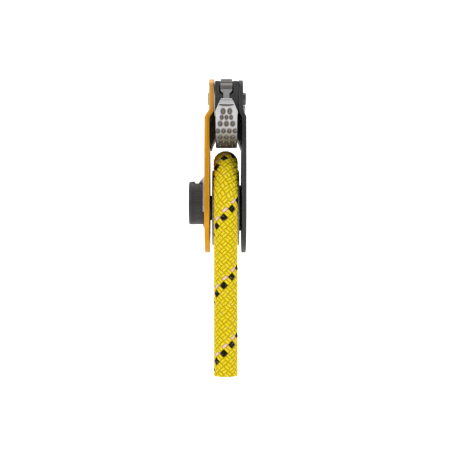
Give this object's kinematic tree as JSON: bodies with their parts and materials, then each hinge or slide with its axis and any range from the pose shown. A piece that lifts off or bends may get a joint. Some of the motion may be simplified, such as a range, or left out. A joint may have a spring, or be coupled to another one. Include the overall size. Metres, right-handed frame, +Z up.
{
  "type": "rope clamp pulley",
  "caption": "Progress-capture ascender: grooved sheave on a ball bearing between a fixed and a swinging side plate, with a toothed cam held open over a short rope.",
  "frame": {"origin": "centre of the attachment eye, halfway between the side plates", "axes": "+X along the sheave's axle, from the swinging plate to the fixed plate; +Y to the back, away from the cam's toothed face; +Z up"},
  "size_m": [0.0265, 0.0586, 0.1349],
  "materials": {
    "black_plate": "black anodised, satin",
    "orange_plate": "orange-gold anodised, satin",
    "housing": "black anodised, matte",
    "bright_steel": "stainless, turned",
    "dark_steel": "blackened steel",
    "spring_steel": "drawn wire",
    "hub_spacer": "black, matte",
    "seal": "moulded",
    "cage": "pressed",
    "ball": "polished",
    "sheave": "machined",
    "cam_steel": "cast steel, bright plated",
    "catch": "grey, satin",
    "cover": "satin silver",
    "knob": "moulded black, satin",
    "rope": "braided kernmantel sheath with black and white tracers"
  },
  "bodies": {
    "frame_body": {"fixed_side_plate": "black_plate", "housing_block": "housing", "cam_pivot_pin": "dark_steel", "cam_torsion_spring": "spring_steel", "catch_pin": "dark_steel", "catch_torsion_spring": "spring_steel", "block_rivet_1": "bright_steel", "block_rivet_2": "bright_steel", "block_rivet_3": "bright_steel", "axle": "bright_steel", "left_hub_spacer": "hub_spacer", "right_hub_spacer": "hub_spacer", "bearing_inner_ring": "bright_steel", "rope": "rope"},
    "sheave_body": {"sheave": "sheave", "bearing_outer_ring": "bright_steel", "bearing_retaining_ring": "spring_steel", "bearing_seal_left": "seal", "bearing_seal_right": "seal"},
    "ball_set": {"ball_cage": "cage", "ball_01": "ball", "ball_02": "ball", "ball_03": "ball", "ball_04": "ball", "ball_05": "ball", "ball_06": "ball", "ball_07": "ball", "ball_08": "ball", "ball_09": "ball", "ball_10": "ball"},
    "swinging_side": {"swinging_side_plate": "orange_plate", "plate_stud": "bright_steel", "pivot_bush": "bright_steel", "lock_cover": "cover", "cover_rivet_1": "bright_steel", "cover_rivet_2": "bright_steel", "cover_rivet_3": "bright_steel", "knob_screw": "bright_steel", "knob_torsion_spring": "spring_steel"},
    "knob_body": {"lock_knob": "knob"},
    "cam_body": {"cam": "cam_steel"},
    "catch_body": {"catch_lever": "catch"}
  },
  "joints": [
    {"name": "sheave_spin", "type": "hinge", "parent": "frame_body", "child": "sheave_body", "pos_m": [0, -0.0065, -0.051], "axis": [1, 0, 0], "continuous": true},
    {"name": "ball_set_spin", "type": "hinge", "parent": "frame_body", "child": "ball_set", "pos_m": [0, -0.0065, -0.051], "axis": [1, 0, 0], "continuous": true},
    {"name": "side_plate_swing", "type": "hinge", "parent": "frame_body", "child": "swinging_side", "pos_m": [0, -0.0065, -0.051], "axis": [1, 0, 0], "range_deg": [0, 110]},
    {"name": "cam_pivot", "type": "hinge", "parent": "frame_body", "child": "cam_body", "pos_m": [0, -0.0155, -0.0009], "axis": [1, 0, 0], "range_deg": [0, 42]},
    {"name": "catch_press", "type": "hinge", "parent": "frame_body", "child": "catch_body", "pos_m": [0, -0.0182, 0.005], "axis": [-1, 0, 0], "range_deg": [0, 5], "stiffness_Nm_per_rad": 0.02},
    {"name": "lock_knob_turn", "type": "hinge", "parent": "swinging_side", "child": "knob_body", "pos_m": [-0.0135, -0.0065, -0.04865], "axis": [1, 0, 0], "range_deg": [0, 45], "stiffness_Nm_per_rad": 0.02}
  ],
  "couplings": [
    {"joint": "ball_set_spin", "follows": "sheave_spin", "ratio": 0.6}
  ]
}
